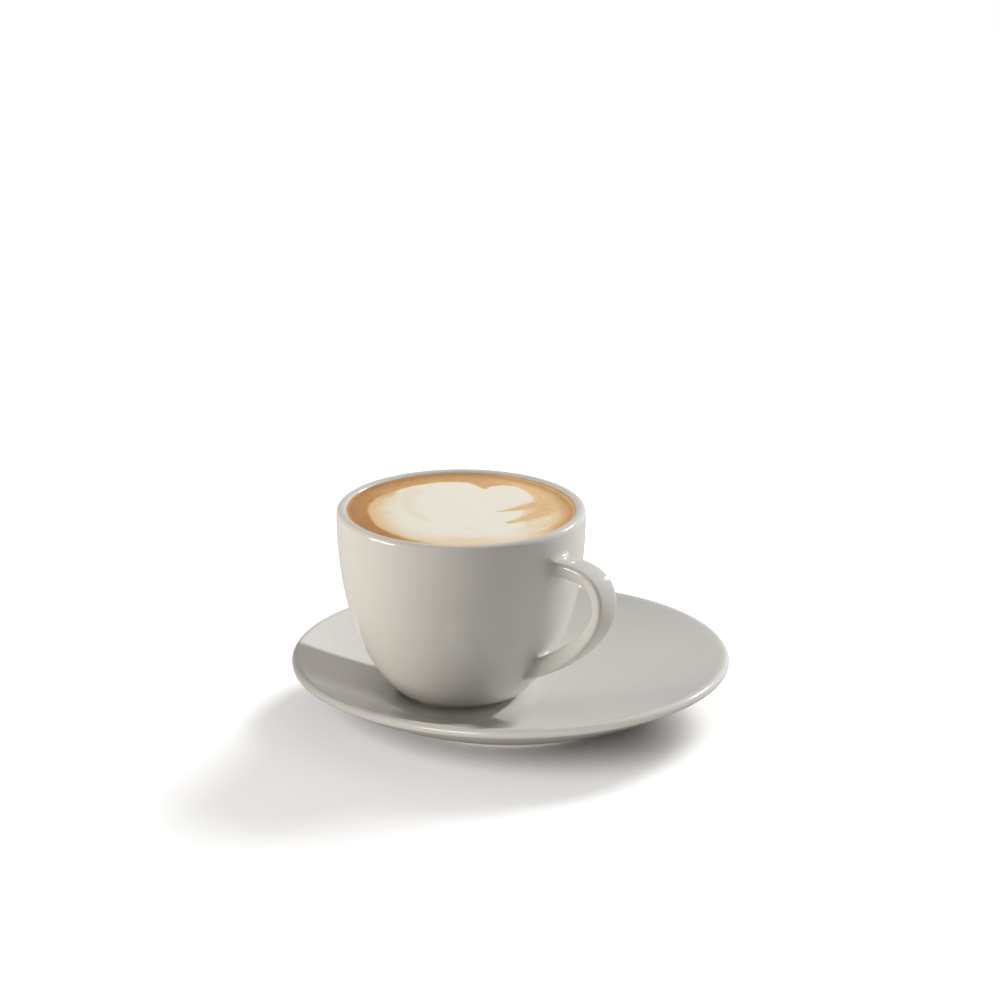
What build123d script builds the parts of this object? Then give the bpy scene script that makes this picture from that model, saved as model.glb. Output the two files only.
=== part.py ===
"""A latte in its porcelain cup, on the saucer that it is served on.

Millimetres, +Z up. The origin is the middle of the saucer's foot, on the table. The cup's handle
points along +X. The cup stands in the saucer's well, which lies to one side of the middle.
"""
import os
from math import cos, radians, sin

from build123d import *

# Saucer
SAUCER_RADIUS = 77.5
SAUCER_HEIGHT = 20.8
SAUCER_LIP = 1.8  # radius of the rolled edge
SAUCER_FOOT_RADIUS = 40.0
SAUCER_FOOT_WIDTH = 3.2
SAUCER_FOOT_HEIGHT = 1.7
UNDERSIDE_BULGE = 1.2  # how far the underside swells below a straight cone
UNDERSIDE_LIP_ANGLE = -58.0  # where the underside meets the rolled edge

# The dish and the well, its flat floor, where the cup stands
WELL_FLOOR = 7.0  # above the table
WELL_OFFSET = 17.4  # from the saucer's axis
WELL_ANGLE = 216.0  # from +X
WELL_MARGIN = 8.9  # from the cup's foot to where the dish starts to rise
DISH_RINGS = 6  # circles that the dish is lofted through
DISH_CURVE = 1.25  # 1 is a straight cone, more is a flatter middle and a steeper edge

# Cup
CUP_RADIUS = 44.0
CUP_HEIGHT = 68.4
CUP_WALL = 4.0  # at the lip
CUP_LIP_FLAT = 0.2  # left between the two round edges of the lip
CUP_FOOT_RADIUS = 19.6
CUP_FOOT_WIDTH = 3.2
CUP_FOOT_HEIGHT = 2.0  # from the well's floor to the body's underside
CUP_FOOT_LIFT = 2.2  # the hollow under the cup, inside its foot
BODY_OVERHANG = 3.2  # the flat of the body's underside, past the foot
BODY_EDGE_ROUND = 0.8  # where the underside turns up into the wall
BODY_ANGLE = 42.0  # the wall's slope where it leaves that round edge
BODY_LOWER_PULL = 25.4
BODY_UPPER_PULL = 14.2
CUP_FLOOR = 7.4  # the inside, above the cup's foot
CUP_FLOOR_INSET = 1.6  # the flat of the inside ends this far inside the foot's radius
INSIDE_LOWER_PULL = 13.5
INSIDE_UPPER_PULL = 21.0

# Handle: a flat strap
HANDLE_WIDTH = 10.2
HANDLE_THICKNESS = 5.6
HANDLE_ROUND = 2.1
HANDLE_BLEND = 1.6  # fillet where the handle leaves the wall
HANDLE_CREST_DROP = 12.7  # the strap's middle at its highest, below the lip
HANDLE_LOWER_HEIGHT = 21.0  # where it nears the wall again, above the cup's foot
HANDLE_ROOT_DEPTH = 12.0  # the strap starts this far inside the lip's radius, and the inside cuts it off
HANDLE_ROOT_SHARE = 0.89
HANDLE_LOWER_DEPTH = 20.5  # the strap ends this far inside the lip's radius, cut off in the same way
HANDLE_LOWER_DROP = 9.3  # and this far below the lower height
# The strap's middle line: distance out from the lip's radius, and share of the height from the
# lower height to the crest
HANDLE_BENDS = ((9.5, 1.0), (17.9, 0.89), (19.9, 0.67), (13.2, 0.31), (-0.5, 0.0))

# Latte
LATTE_LEVEL = 0.9  # below the lip's crest

cup_x = WELL_OFFSET * cos(radians(WELL_ANGLE))
cup_y = WELL_OFFSET * sin(radians(WELL_ANGLE))
cup_axis = Axis((cup_x, cup_y, 0), (0, 0, 1))
cup_side = Plane(origin=(cup_x, cup_y, WELL_FLOOR), x_dir=(1, 0, 0), z_dir=(0, -1, 0))


def saucer_outline():
    """Half section of the saucer without its dish, drawn on Plane.XZ."""
    lip_x = SAUCER_RADIUS - SAUCER_LIP
    lip_z = SAUCER_HEIGHT - SAUCER_LIP
    foot_inside = SAUCER_FOOT_RADIUS - SAUCER_FOOT_WIDTH
    lip_start = (
        lip_x + SAUCER_LIP * cos(radians(UNDERSIDE_LIP_ANGLE)),
        lip_z + SAUCER_LIP * sin(radians(UNDERSIDE_LIP_ANGLE)),
    )
    foot_top = (SAUCER_FOOT_RADIUS, SAUCER_FOOT_HEIGHT)
    with BuildLine() as outline:
        Polyline((lip_x, SAUCER_HEIGHT), (0, SAUCER_HEIGHT), (0, SAUCER_FOOT_HEIGHT),
                 (foot_inside, SAUCER_FOOT_HEIGHT), (foot_inside, 0), (SAUCER_FOOT_RADIUS, 0), foot_top)
        SagittaArc(foot_top, lip_start, -UNDERSIDE_BULGE)
        CenterArc((lip_x, lip_z), SAUCER_LIP, UNDERSIDE_LIP_ANGLE, 90 - UNDERSIDE_LIP_ANGLE)
    return outline.edges()


def cup_outline():
    """Half section of the cup as a solid body, drawn on cup_side."""
    lip_z = CUP_HEIGHT - CUP_WALL / 2
    foot_inside = CUP_FOOT_RADIUS - CUP_FOOT_WIDTH
    edge_x = CUP_FOOT_RADIUS + BODY_OVERHANG
    with BuildLine() as outline:
        Polyline((CUP_RADIUS, lip_z), (CUP_RADIUS, CUP_HEIGHT), (0, CUP_HEIGHT), (0, CUP_FOOT_LIFT),
                 (foot_inside, CUP_FOOT_LIFT), (foot_inside, 0), (CUP_FOOT_RADIUS, 0),
                 (CUP_FOOT_RADIUS, CUP_FOOT_HEIGHT), (edge_x, CUP_FOOT_HEIGHT))
        edge = CenterArc((edge_x, CUP_FOOT_HEIGHT + BODY_EDGE_ROUND), BODY_EDGE_ROUND, -90, BODY_ANGLE)
        wall_start = edge @ 1
        lower_pull = wall_start + (edge % 1) * BODY_LOWER_PULL
        Bezier(wall_start, lower_pull, (CUP_RADIUS, lip_z - BODY_UPPER_PULL), (CUP_RADIUS, lip_z))
    return outline.edges()


def inside_outline(top, grow=0.0):
    """Half section of the cup's inside up to a height, drawn on cup_side."""
    radius = CUP_RADIUS - CUP_WALL + grow
    floor = CUP_FLOOR - grow
    floor_radius = CUP_FOOT_RADIUS - CUP_FLOOR_INSET
    lip_z = CUP_HEIGHT - CUP_WALL / 2
    with BuildLine() as outline:
        Polyline((floor_radius, floor), (0, floor), (0, top), (radius, top), (radius, lip_z))
        Bezier((radius, lip_z), (radius, lip_z - INSIDE_UPPER_PULL),
               (floor_radius + INSIDE_LOWER_PULL + grow, floor), (floor_radius, floor))
    return outline.edges()


def handle_points():
    """Points of the strap's middle line from its upper root to its lower one, drawn on cup_side."""
    span = CUP_HEIGHT - HANDLE_CREST_DROP - HANDLE_LOWER_HEIGHT
    upper_root = (CUP_RADIUS - HANDLE_ROOT_DEPTH, HANDLE_LOWER_HEIGHT + HANDLE_ROOT_SHARE * span)
    bends = [(CUP_RADIUS + out, HANDLE_LOWER_HEIGHT + share * span) for out, share in HANDLE_BENDS]
    lower_root = (CUP_RADIUS - HANDLE_LOWER_DEPTH, HANDLE_LOWER_HEIGHT - HANDLE_LOWER_DROP)
    return [upper_root, *bends, lower_root]


# The saucer: a body of revolution less the dish, whose rings slide from the rim to the well
with BuildPart() as saucer:
    with BuildSketch(Plane.XZ):
        make_face(saucer_outline())
    revolve(axis=Axis.Z)
    rim_radius = SAUCER_RADIUS - SAUCER_LIP
    well_radius = CUP_FOOT_RADIUS + WELL_MARGIN
    for ring in range(DISH_RINGS):
        out = ring / (DISH_RINGS - 1)
        ring_z = WELL_FLOOR + (SAUCER_HEIGHT - WELL_FLOOR) * out**DISH_CURVE
        with BuildSketch(Plane((cup_x * (1 - out), cup_y * (1 - out), ring_z))):
            Circle(well_radius + (rim_radius - well_radius) * out)
    loft(mode=Mode.SUBTRACT)

# The cup: a solid body and its handle, then the inside cut out of both
with BuildPart() as cup:
    with BuildSketch(cup_side):
        make_face(cup_outline())
    revolve(axis=cup_axis)
    with BuildLine(cup_side) as handle_lines:
        Spline(handle_points())
    handle_route = handle_lines.wires()[0]
    with BuildSketch(Plane(handle_route @ 0, x_dir=(0, 1, 0), z_dir=handle_route % 0)):
        RectangleRounded(HANDLE_WIDTH, HANDLE_THICKNESS, HANDLE_ROUND)
    sweep(path=handle_route)
    wall_x = cup_x + CUP_RADIUS
    fillet(cup.edges(Select.LAST).filter_by(lambda edge: edge.bounding_box().max.X < wall_x), HANDLE_BLEND)
    with BuildSketch(cup_side):
        make_face(inside_outline(CUP_HEIGHT))
    revolve(axis=cup_axis, mode=Mode.SUBTRACT)
    rim_edges = cup.edges().filter_by(GeomType.CIRCLE).group_by(Axis.Z)[-1]
    fillet(rim_edges, (CUP_WALL - CUP_LIP_FLAT) / 2)

# The latte: fills the cup to its level, and takes its sides from the cup
with BuildPart() as latte:
    with BuildSketch(cup_side):
        make_face(inside_outline(CUP_HEIGHT - LATTE_LEVEL, grow=CUP_WALL / 2))
    revolve(axis=cup_axis)
    add(cup.part, mode=Mode.SUBTRACT)

os.makedirs("parts", exist_ok=True)
saucer.part.label = "saucer"
cup.part.label = "cup"
latte.part.label = "latte"
export_step(saucer.part, "parts/saucer.step")
export_step(cup.part, "parts/cup.step")
export_step(latte.part, "parts/latte.step")
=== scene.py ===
"""A latte in its porcelain cup, on its saucer.

Every length is in metres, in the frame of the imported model: +Z up, the table at 0, and the cup's
handle along +X. The saucer, the cup and the drink each stand for the node of the same name.
"""
from math import ceil, cos, degrees, pi, radians, sin

import bmesh
import bpy
import numpy as np
from bpy.props import FloatProperty, FloatVectorProperty, IntProperty, PointerProperty
from bpy.types import Operator, Panel, PropertyGroup
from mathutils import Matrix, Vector


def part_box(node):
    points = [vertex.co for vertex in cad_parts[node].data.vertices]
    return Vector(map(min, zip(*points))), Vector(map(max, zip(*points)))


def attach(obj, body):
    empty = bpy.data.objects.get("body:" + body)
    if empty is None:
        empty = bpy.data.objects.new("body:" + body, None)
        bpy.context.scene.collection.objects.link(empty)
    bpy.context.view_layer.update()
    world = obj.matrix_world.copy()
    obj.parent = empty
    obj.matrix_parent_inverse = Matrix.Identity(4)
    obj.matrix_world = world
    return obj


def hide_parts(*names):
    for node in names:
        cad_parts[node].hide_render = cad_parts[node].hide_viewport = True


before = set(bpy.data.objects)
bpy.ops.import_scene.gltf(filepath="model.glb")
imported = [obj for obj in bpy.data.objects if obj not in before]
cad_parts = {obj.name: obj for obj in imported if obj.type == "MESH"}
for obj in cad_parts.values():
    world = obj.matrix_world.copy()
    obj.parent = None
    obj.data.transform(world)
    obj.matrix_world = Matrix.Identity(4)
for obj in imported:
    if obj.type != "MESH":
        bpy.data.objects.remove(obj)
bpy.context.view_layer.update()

bl_info = {
    "name": "Latte in a cup and saucer",
    "version": (1, 0, 0),
    "blender": (4, 5, 0),
    "location": "3D View > Sidebar > Latte",
    "description": "Makes a porcelain cup and saucer with a latte in it",
    "category": "Add Mesh",
}

MM = 0.001

cup_low, cup_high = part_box("cup")
saucer_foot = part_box("saucer")[0].z
latte_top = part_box("latte")[1].z


# --- Sizes and colours that a user would change -------------------------------------------------


def length(name, description, default):
    """A length that shows in the panel with its unit."""
    return FloatProperty(name=name, description=description, default=default, unit="LENGTH", precision=5)


def angle(name, description, turn):
    """An angle, given and shown in degrees."""
    return FloatProperty(name=name, description=description, default=radians(turn), subtype="ANGLE")


def share(name, description, default, highest=1.0):
    """A plain number from nothing to its highest."""
    return FloatProperty(name=name, description=description, default=default, min=0.0, max=highest)


def watts(name, description, default):
    """The power of a lamp."""
    return FloatProperty(name=name, description=description, default=default, unit="POWER", min=0.0)


def paint(name, description, colour):
    """A linear colour."""
    return FloatVectorProperty(name=name, description=description, default=colour, subtype="COLOR",
                               size=3, min=0.0, max=1.0)


class SaucerSizes(PropertyGroup):
    """Sizes of the saucer, whose dish slides from the rim to a well beside the middle."""

    radius: length("Radius", "Outside of the rolled edge", 0.0775)
    lip: length("Edge", "Radius of the rolled edge", 0.0018)
    height: length("Height", "From the table to the top of the edge", 0.0208)
    foot_radius: length("Foot radius", "Outside of the foot ring", 0.040)
    foot_width: length("Foot width", "Thickness of the foot ring", 0.0032)
    foot_height: length("Foot height", "Hollow inside the foot ring", 0.0017)
    bulge: length("Bulge", "How far the underside swells below a straight cone", 0.0012)
    well_floor: length("Well floor", "Height of the well above the table", 0.0070)
    well_radius: length("Well radius", "Radius of the flat floor that the cup stands on", 0.0285)
    dish_curve: share("Dish curve", "1 is a straight cone, more is a flatter middle", 1.25, 3.0)
    crest_end: share("Crest end", "Share of the dish's slope that the rolled rim leaves as it is", 0.93)
    soft_edge: length("Glaze softness", "How far the glaze rounds a corner", 0.0006)
    around: IntProperty(name="Around", description="Points round a ring", default=288, min=32)


class CupSizes(PropertyGroup):
    """Sizes of the cup's body."""

    lip_radius: length("Lip radius", "Outside of the lip", 0.044)
    height: length("Height", "From the foot to the top of the lip", 0.0684)
    wall: length("Wall", "Thickness at the lip", 0.0040)
    foot_radius: length("Foot radius", "Outside of the foot ring", 0.0196)
    foot_width: length("Foot width", "Thickness of the foot ring", 0.0032)
    foot_height: length("Foot height", "From the foot to the body's underside", 0.0020)
    foot_lift: length("Foot hollow", "Hollow inside the foot ring", 0.0022)
    overhang: length("Overhang", "Flat of the body's underside, past the foot", 0.0032)
    edge_round: length("Edge round", "Where the underside turns up into the wall", 0.0008)
    body_angle: angle("Body angle", "Slope of the wall where it leaves the foot", 42.0)
    lower_pull: length("Lower pull", "How long the wall keeps its lower slope", 0.0254)
    upper_pull: length("Upper pull", "How long the wall stays upright below the lip", 0.0142)
    floor: length("Floor", "The inside's floor above the foot", 0.0074)
    floor_inset: length("Floor inset", "From the foot's radius to the edge of the flat floor", 0.0016)
    inside_lower_pull: length("Inside lower pull", "How long the inside stays flat", 0.0135)
    inside_upper_pull: length("Inside upper pull", "How long the inside stays upright", 0.0210)
    soft_edge: length("Glaze softness", "How far the glaze rounds a corner", 0.0005)


class HandleSizes(PropertyGroup):
    """Sizes of the strap handle."""

    width: length("Width", "Across the strap", 0.0102)
    thickness: length("Thickness", "Through the strap", 0.0056)
    outer_round: length("Outer round", "Round of the edges of the strap's outer face", 0.0013)
    inner_round: length("Inner round", "Round of the edges of the strap's inner face", 0.0024)
    crown: length("Crown", "How far the strap's outer face swells in its middle", 0.0004)
    slim: share("Slimmer", "Share of the thickness that the strap loses at its outer bend", 0.24)
    stout: share("Stouter", "Share of the thickness that the strap gains towards its lower root", 0.12)
    upper_blend: length("Upper blend", "Radius where the strap's upper root runs into the wall", 0.0022)
    lower_blend: length("Lower blend", "Radius where the strap's lower root runs into the wall", 0.0012)
    crest_drop: length("Crest drop", "The strap's highest middle below the lip", 0.0127)
    lower_height: length("Lower height", "Where the strap nears the wall again", 0.0210)
    lower_depth: length("Lower depth", "The strap's end inside the lip's radius", 0.0205)
    lower_drop: length("Lower drop", "The strap's end below the lower height", 0.0093)


class DrinkLook(PropertyGroup):
    """Level, relief and colours of the latte."""

    level: length("Level", "The surface below the lip's top", 0.0009)
    meniscus: length("Meniscus", "How far the drink climbs the wall", 0.0003)
    relief: length("Foam relief", "How far the milk foam stands above the crema", 0.00018)
    turn: angle("Turn", "Turn of the pour round the cup", 39.0)
    dark_crema: paint("Dark crema", "Crema at its darkest, against the wall", (0.400, 0.180, 0.055))
    crema: paint("Crema", "Crema in the ring round the drink", (0.560, 0.290, 0.105))
    pale_crema: paint("Pale crema", "Crema that milk has run into", (0.820, 0.580, 0.315))
    cream: paint("Cream", "Foam at the edge of the pour", (0.870, 0.745, 0.570))
    foam: paint("Milk foam", "Foam in the middle of the pour", (0.900, 0.860, 0.760))
    bubbles: IntProperty(name="Bubbles", description="How many bubbles to try for", default=120, min=0)


class GlazeLook(PropertyGroup):
    """The porcelain's white glaze."""

    white: paint("White", "The glaze where it is thin", (0.715, 0.700, 0.668))
    deep_white: paint("Deep white", "The glaze where it has pooled", (0.690, 0.678, 0.650))
    bare: paint("Bare clay", "The unglazed foot", (0.640, 0.600, 0.530))
    gloss: share("Roughness", "Roughness of the glaze", 0.12)


class StageLook(PropertyGroup):
    """Camera, lamps, world and floor."""

    azimuth: angle("Azimuth", "Camera's turn round the object", 39.0)
    elevation: angle("Elevation", "Camera's height above the horizon", 18.58)
    distance: length("Distance", "From the camera to the point it looks at", 2.2165)
    aim_side: length("Aim to the side", "The point looked at, right of the saucer's middle", -0.0037)
    aim_height: length("Aim height", "The point looked at, above the table", 0.0782)
    lens: FloatProperty(name="Lens", description="Focal length in millimetres", default=226.8)
    key: watts("Key lamp", "The object's small lamp, behind it at the right", 16.0)
    fill: watts("Fill lamp", "The broad lamp at the left, for all but the saucer", 9.0)
    low: watts("Low lamp", "The saucer's own lamp, low in front", 7.0)
    floor_back: watts("Floor back", "The floor's lamp behind the object", 28.0)
    floor_front: watts("Floor front", "The floor's lamp in front of the object", 20.0)
    ambient: share("Ambient", "Light from all round, more from above at the right", 0.37)
    reflected: share("Reflected", "How bright the white round the object is where gloss shows it", 0.32)


# --- Outlines -------------------------------------------------------------------------------------

SOFT_STEPS = 8  # fine points over which a corner is rounded, on each side of it
SOFT_SPREAD = 2.6  # more keeps the rounding closer to the corner


def bezier(corners, count):
    """Points along the Bezier curve with these control points, ends included."""
    place = np.linspace(0, 1, count)[:, None]
    points = [np.array(corner, float) + 0 * place for corner in corners]
    while len(points) > 1:
        points = [a + (b - a) * place for a, b in zip(points, points[1:])]
    return points[0]


def arc(centre, radius, start, end, count):
    """Points along an arc, its ends given in degrees."""
    turn = np.radians(np.linspace(start, end, count))
    return np.stack([centre[0] + radius * np.cos(turn), centre[1] + radius * np.sin(turn)], 1)


def step_up(value, low, high):
    """0 below low, 1 above high and smooth between."""
    t = np.clip((value - low) / (high - low), 0, 1)
    return t * t * (3 - 2 * t)


def run_lengths(points):
    """How far along the line each point lies."""
    return np.r_[0, np.cumsum(np.linalg.norm(np.diff(points, axis=0), axis=1))]


def unit(vectors):
    """The same vectors, each 1 long."""
    return vectors / np.linalg.norm(vectors, axis=1)[:, None]


def at_places(points, along, places):
    """The line's points at those lengths along it."""
    return np.stack([np.interp(places, along, column) for column in np.transpose(points)], 1)


def soften(outline, reach):
    """A finely divided copy of an outline, with its corners rounded over about that reach.

    Both ends lie on the axis, where the first column, the radius, is 0 and turns to its mirror image.
    """
    points = np.array(outline, float)
    points = points[np.r_[True, np.linalg.norm(np.diff(points, axis=0), axis=1) > 1e-9]]
    along = run_lengths(points)
    fine = at_places(points, along, np.linspace(0, along[-1], ceil(along[-1] / (reach / SOFT_STEPS)) + 1))
    mirror = np.ones(points.shape[1])
    mirror[0] = -1
    padded = np.vstack([fine[SOFT_STEPS:0:-1] * mirror, fine, fine[-2:-SOFT_STEPS - 2:-1] * mirror])
    kernel = np.exp(-0.5 * (np.arange(-SOFT_STEPS, SOFT_STEPS + 1) / (SOFT_STEPS / SOFT_SPREAD)) ** 2)
    kernel /= kernel.sum()
    return np.stack([np.convolve(column, kernel, "valid") for column in padded.T], 1)


def ring_points(fine, widest, bend):
    """Fewer points of a fine outline: at most widest apart, and closer together where it bends."""
    along = run_lengths(fine)
    heading = np.unwrap(np.arctan2(np.gradient(fine[:, -1]), np.gradient(fine[:, 0])))
    measure = along / widest + np.r_[0, np.cumsum(np.abs(np.diff(heading)))] / bend
    count = ceil(measure[-1])
    return at_places(fine, along, np.interp(np.linspace(0, measure[-1], count + 1), measure, along))


# --- Node trees -----------------------------------------------------------------------------------


def node(tree, kind, inputs=None, **settings):
    """A new node. inputs maps a socket's name or number to a value or to the socket that feeds it."""
    made = tree.nodes.new(kind)
    for name, value in settings.items():
        setattr(made, name, value)
    for key, value in (inputs or {}).items():
        if isinstance(value, bpy.types.NodeSocket):
            tree.links.new(value, made.inputs[key])
        else:
            made.inputs[key].default_value = value
    return made


def emptied(owner):
    """The node tree of a material or a world, with nothing in it."""
    owner.use_nodes = True
    owner.node_tree.nodes.clear()
    return owner.node_tree


def maths(tree, operation, *values):
    """What a Math node makes of these values or sockets."""
    return node(tree, "ShaderNodeMath", dict(enumerate(values)), operation=operation).outputs[0]


def mixed(tree, factor, first, second):
    """The output of a colour Mix node."""
    mix = node(tree, "ShaderNodeMix", data_type="RGBA")
    for socket, value in zip((mix.inputs[0], mix.inputs[6], mix.inputs[7]), (factor, first, second)):
        if isinstance(value, bpy.types.NodeSocket):
            tree.links.new(value, socket)
        elif socket == mix.inputs[0]:
            socket.default_value = value
        else:
            socket.default_value = (*value, 1)
    return mix.outputs[2]


def ramp(tree, factor, stops):
    """The colour output of a Color Ramp with stops of (place, colour)."""
    made = node(tree, "ShaderNodeValToRGB", {0: factor})
    elements = made.color_ramp.elements
    elements[0].position, elements[0].color = stops[0][0], (*stops[0][1], 1)
    elements[1].position, elements[1].color = stops[-1][0], (*stops[-1][1], 1)
    for place, colour in stops[1:-1]:
        elements.new(place).color = (*colour, 1)
    return made.outputs[0]


def grey(value):
    """A grey of that value."""
    return (value, value, value)


def grey_ramp(tree, factor, *stops):
    """A ramp between greys, with stops of (place, value)."""
    return ramp(tree, factor, [(place, grey(value)) for place, value in stops])


def noise_of(tree, place, scale, detail=2.0, roughness=0.5):
    """The value of a Noise texture."""
    return node(tree, "ShaderNodeTexNoise", {
        "Vector": place, "Scale": scale, "Detail": detail, "Roughness": roughness,
    }).outputs[0]


def specks(tree, place, scale, radius, skipped):
    """1 inside round specks, one to a cell of that many per metre, with a share of the cells skipped."""
    cells = node(tree, "ShaderNodeTexVoronoi", {"Vector": place, "Scale": scale}).outputs
    chosen = node(tree, "ShaderNodeSeparateColor", {0: cells["Color"]}).outputs[0]
    return maths(tree, "MULTIPLY", maths(tree, "LESS_THAN", cells["Distance"], radius),
                 maths(tree, "GREATER_THAN", chosen, skipped))


def bumps(tree, height, strength, distance, under=None, sunk=False):
    """A normal that stands up, or sinks, by a height over the normal under it."""
    inputs = {"Strength": strength, "Distance": distance, "Height": height}
    if under is not None:
        inputs["Normal"] = under
    return node(tree, "ShaderNodeBump", inputs, invert=sunk).outputs[0]


def new_material(name):
    """A material with its tree, the inputs of its only shader, and the place on the object."""
    material = bpy.data.materials.new(name)
    tree = emptied(material)
    shader = node(tree, "ShaderNodeBsdfPrincipled")
    node(tree, "ShaderNodeOutputMaterial", {0: shader.outputs[0]})
    return material, tree, shader.inputs, node(tree, "ShaderNodeTexCoord").outputs["Object"]


def glaze_material(name, look, foot_height):
    """White glaze over porcelain, with bare clay on the ring that the piece stands on."""
    material, tree, shader, place = new_material(name)
    pooling = noise_of(tree, place, 26.0, 3.0)
    white = mixed(tree, grey_ramp(tree, pooling, (0.35, 0), (0.68, 1)), look.white, look.deep_white)

    # Iron specks in the clay, a few to a hand's breadth, each well under a millimetre
    faint = maths(tree, "MULTIPLY", specks(tree, place, 150.0, 0.028, 0.975), 0.35)
    speckled = mixed(tree, faint, white, (0.36, 0.29, 0.22))

    height = node(tree, "ShaderNodeSeparateXYZ", {0: place}).outputs[2]
    grain = noise_of(tree, place, 900.0, 4.0)
    edge = maths(tree, "MULTIPLY_ADD", grain, 0.00025, foot_height + 0.0001)
    bare = maths(tree, "LESS_THAN", height, edge)
    clay = mixed(tree, grain, look.bare, tuple(0.88 * c for c in look.bare))
    tree.links.new(mixed(tree, bare, speckled, clay), shader["Base Color"])
    gloss = grey_ramp(tree, pooling, (0.3, look.gloss * 0.85), (0.7, look.gloss * 1.25))
    tree.links.new(mixed(tree, bare, gloss, grey(0.8)), shader["Roughness"])

    # Orange-peel waves in the glaze, and grain in the bare clay
    waves = bumps(tree, noise_of(tree, place, 140.0), 0.05, 0.0004)
    rubbed = maths(tree, "MULTIPLY", bare, grain)
    tree.links.new(bumps(tree, rubbed, 0.5, 0.0001, under=waves), shader["Normal"])
    shader["IOR"].default_value = 1.52
    return material


def drink_material(look):
    """Crema and milk foam, coloured by how much milk the pour has left at each place."""
    material, tree, shader, place = new_material("latte_surface")
    milk = node(tree, "ShaderNodeAttribute", attribute_name="milk").outputs["Fac"]

    # The foam's own grain shifts the colour a little, more in the crema than in the milk
    grain = noise_of(tree, place, 1100.0, 5.0, 0.65)
    cloud = noise_of(tree, place, 210.0, 3.0)
    mottle = maths(tree, "ADD", maths(tree, "MULTIPLY", maths(tree, "SUBTRACT", grain, 0.5), 0.16),
                   maths(tree, "MULTIPLY", maths(tree, "SUBTRACT", cloud, 0.5), 0.10))
    less = maths(tree, "MULTIPLY", mottle, maths(tree, "SUBTRACT", 1.15, milk))
    shade = ramp(tree, maths(tree, "ADD", milk, less), [
        (0.0, look.dark_crema), (0.30, look.crema), (0.62, look.pale_crema), (0.82, look.cream),
        (1.0, look.foam),
    ])

    # Pin-prick bubbles in the crema
    pore = maths(tree, "MULTIPLY", specks(tree, place, 1500.0, 0.26, 0.95),
                 maths(tree, "LESS_THAN", milk, 0.72))
    darker = mixed(tree, 0.35, shade, look.dark_crema)
    tree.links.new(mixed(tree, maths(tree, "MULTIPLY", pore, 0.55), shade, darker),
                   shader["Base Color"])
    tree.links.new(grey_ramp(tree, milk, (0.25, 0.30), (1.0, 0.42)), shader["Roughness"])
    froth = bumps(tree, grain, 0.16, 0.00008)
    tree.links.new(bumps(tree, pore, 0.4, 0.00006, under=froth, sunk=True), shader["Normal"])
    for name, value in (("IOR", 1.36), ("Specular IOR Level", 0.15), ("Subsurface Weight", 0.12),
                        ("Subsurface Radius", (1.0, 0.65, 0.4)), ("Subsurface Scale", 0.0015)):
        shader[name].default_value = value
    return material


def bubble_material(look):
    """The thin wet skin of a bubble on the crema."""
    material, tree, shader, place = new_material("bubble_skin")
    cloud = noise_of(tree, place, 900.0)
    tree.links.new(mixed(tree, cloud, look.crema, look.pale_crema), shader["Base Color"])
    tree.links.new(grey_ramp(tree, cloud, (0.3, 0.10), (0.7, 0.22)), shader["Roughness"])
    shader["IOR"].default_value = 1.34
    return material


# --- Meshes ---------------------------------------------------------------------------------------


def placed(name, data):
    """A new object in the scene, at the origin."""
    made = bpy.data.objects.new(name, data)
    bpy.context.scene.collection.objects.link(made)
    return made


def point_outwards(made):
    """Turns a closed mesh's faces outwards."""
    grown = bmesh.new()
    grown.from_mesh(made.data)
    bmesh.ops.recalc_face_normals(grown, faces=grown.faces)
    grown.to_mesh(made.data)
    grown.free()


def ring_faces(before, after):
    """Faces between two closed rings, each given by its points' numbers."""
    return [(before[i - 1], before[i], after[i], after[i - 1]) for i in range(len(before))]


def mesh_object(name, points, faces, material):
    """A smooth-shaded object at the origin, closed and with its faces pointing outwards."""
    mesh = bpy.data.meshes.new(name)
    mesh.from_pydata(points.tolist(), [], [[int(corner) for corner in face] for face in faces])
    mesh.materials.append(material)
    made = placed(name, mesh)
    point_outwards(made)
    mesh.shade_smooth()
    return made


def applied(made):
    """The object with its modifiers' result as its own plain mesh."""
    graph = bpy.context.evaluated_depsgraph_get()
    result = bpy.data.meshes.new_from_object(made.evaluated_get(graph), depsgraph=graph)
    result.name = made.name
    made.modifiers.clear()
    made.data = result
    return made


def set_input(modifier, name, value):
    """Sets a Geometry Nodes input, found by its name in the tree and set by its identifier."""
    for item in modifier.node_group.interface.items_tree:
        if item.item_type == "SOCKET" and item.in_out == "INPUT" and item.name == name:
            modifier[item.identifier] = value
            return
    raise ValueError(f"{modifier.node_group.name} has no input named {name}")


def new_tree(name, inputs):
    """A Geometry Nodes tree with named inputs after its geometry, its input node and its output node."""
    tree = bpy.data.node_groups.new(name, "GeometryNodeTree")
    tree.interface.new_socket("Geometry", in_out="INPUT", socket_type="NodeSocketGeometry")
    for label, kind in inputs:
        tree.interface.new_socket(label, in_out="INPUT", socket_type=kind)
    tree.interface.new_socket("Geometry", in_out="OUTPUT", socket_type="NodeSocketGeometry")
    return tree, node(tree, "NodeGroupInput").outputs, node(tree, "NodeGroupOutput")


def finish_tree(tree, geometry, finish, out):
    """Ends a tree with smooth shading, no instances and its material."""
    smooth = node(tree, "GeometryNodeSetShadeSmooth", {"Geometry": geometry, "Shade Smooth": True})
    real = node(tree, "GeometryNodeRealizeInstances", {0: smooth.outputs[0]}).outputs[0]
    finished = node(tree, "GeometryNodeSetMaterial", {"Geometry": real, "Material": finish})
    tree.links.new(finished.outputs[0], out.inputs[0])


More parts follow.
